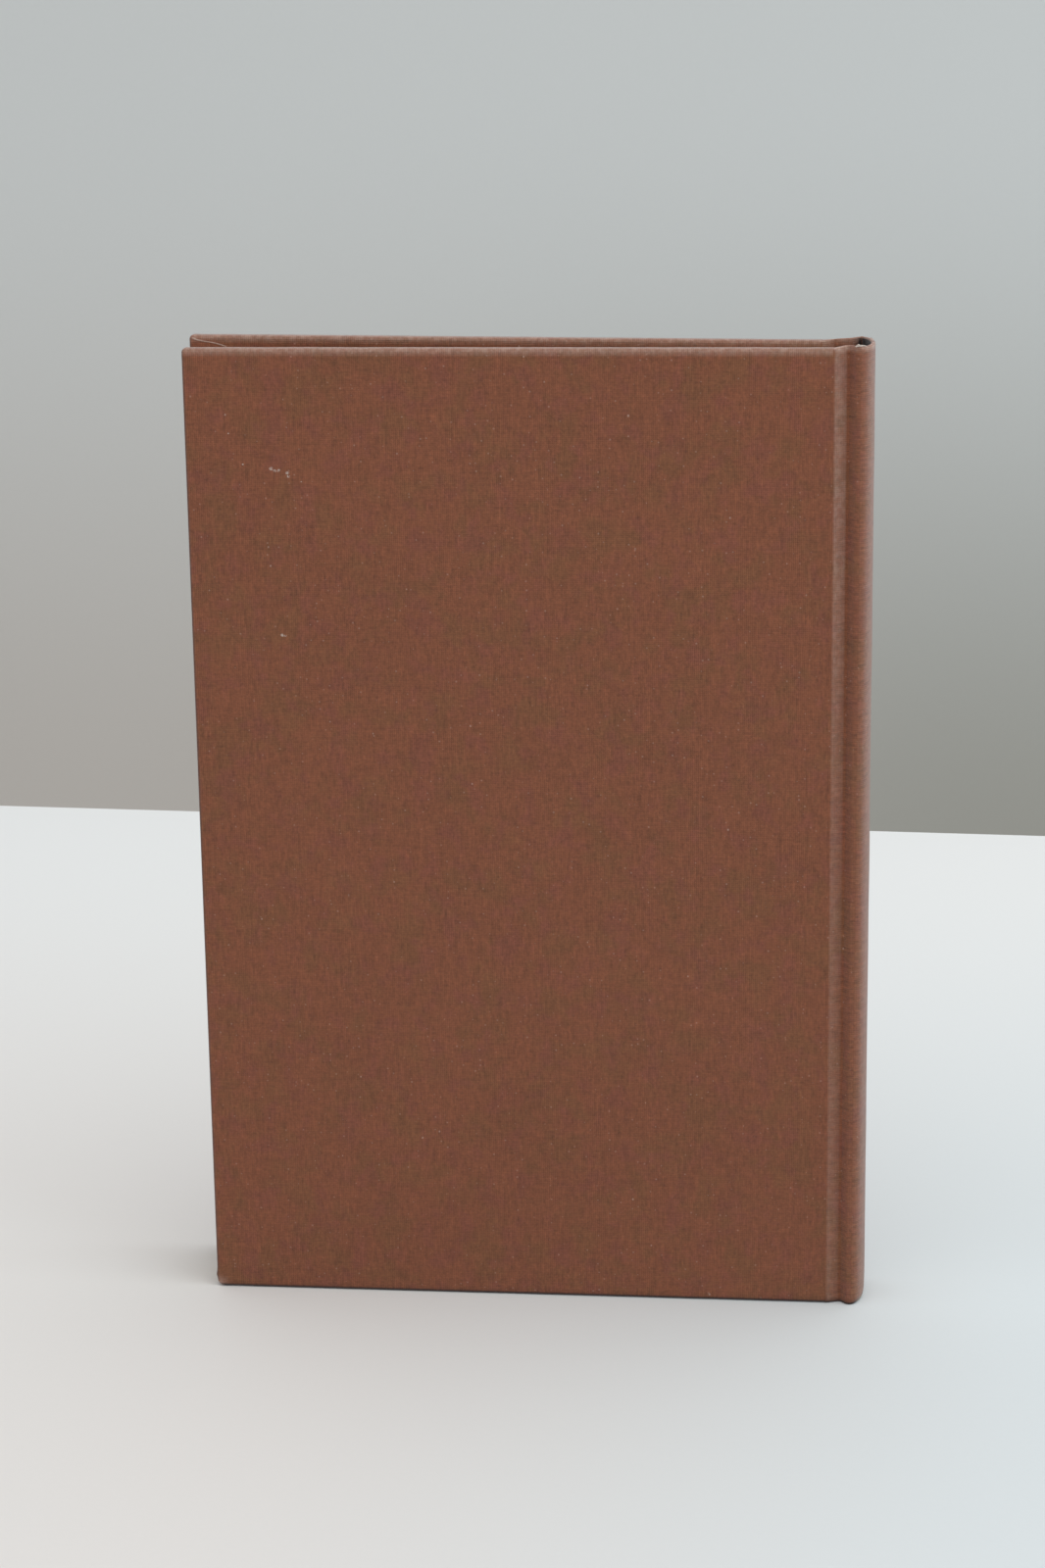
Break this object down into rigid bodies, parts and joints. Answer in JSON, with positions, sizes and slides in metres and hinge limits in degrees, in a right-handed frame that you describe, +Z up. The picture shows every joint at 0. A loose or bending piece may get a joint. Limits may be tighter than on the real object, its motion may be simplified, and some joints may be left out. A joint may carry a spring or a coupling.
{
  "type": "hardback book",
  "caption": "Slim cloth-bound hardback book with two hinged covers, a hollow spine and plain endpapers, standing on its tail.",
  "frame": {"origin": "middle of the base that the book stands on, centre of its box", "axes": "+Z up along the spine to the head, +X from the fore-edge to the spine, +Y from the back cover to the front cover"},
  "size_m": [0.1636, 0.027, 0.2356],
  "materials": {
    "book_cloth": "fine plain-weave book cloth, brown, slightly glossy threads, a little worn",
    "greyboard": "grey millboard, matt",
    "page_paper": "trimmed edges of uncoated cream paper",
    "endpaper": "plain uncoated off-white endpaper",
    "gauze": "open-weave cotton gauze set in glue",
    "lining_paper": "brown kraft paper",
    "band_thread": "brown thread worked over a bead",
    "strip_card": "thin brown card"
  },
  "bodies": {
    "book_block": {"text_block": "page_paper", "front_flyleaf": "endpaper", "back_flyleaf": "endpaper", "spine_gauze": "gauze", "spine_lining": "lining_paper", "head_band": "band_thread", "tail_band": "band_thread", "spine_strip": "strip_card", "spine_cloth": "book_cloth"},
    "front_cover": {"front_board": "greyboard", "front_cover_cloth": "book_cloth", "front_pastedown": "endpaper"},
    "back_cover": {"back_board": "greyboard", "back_cover_cloth": "book_cloth", "back_pastedown": "endpaper"}
  },
  "joints": [
    {"name": "front_cover_hinge", "type": "hinge", "parent": "book_block", "child": "front_cover", "pos_m": [0.07233, 0.00401, 0], "axis": [0, 0, -1], "range_deg": [-3.8, 176.2]},
    {"name": "back_cover_hinge", "type": "hinge", "parent": "book_block", "child": "back_cover", "pos_m": [0.07513, -0.01359, 0], "axis": [0, 0, 1], "range_deg": [0, 180]}
  ]
}
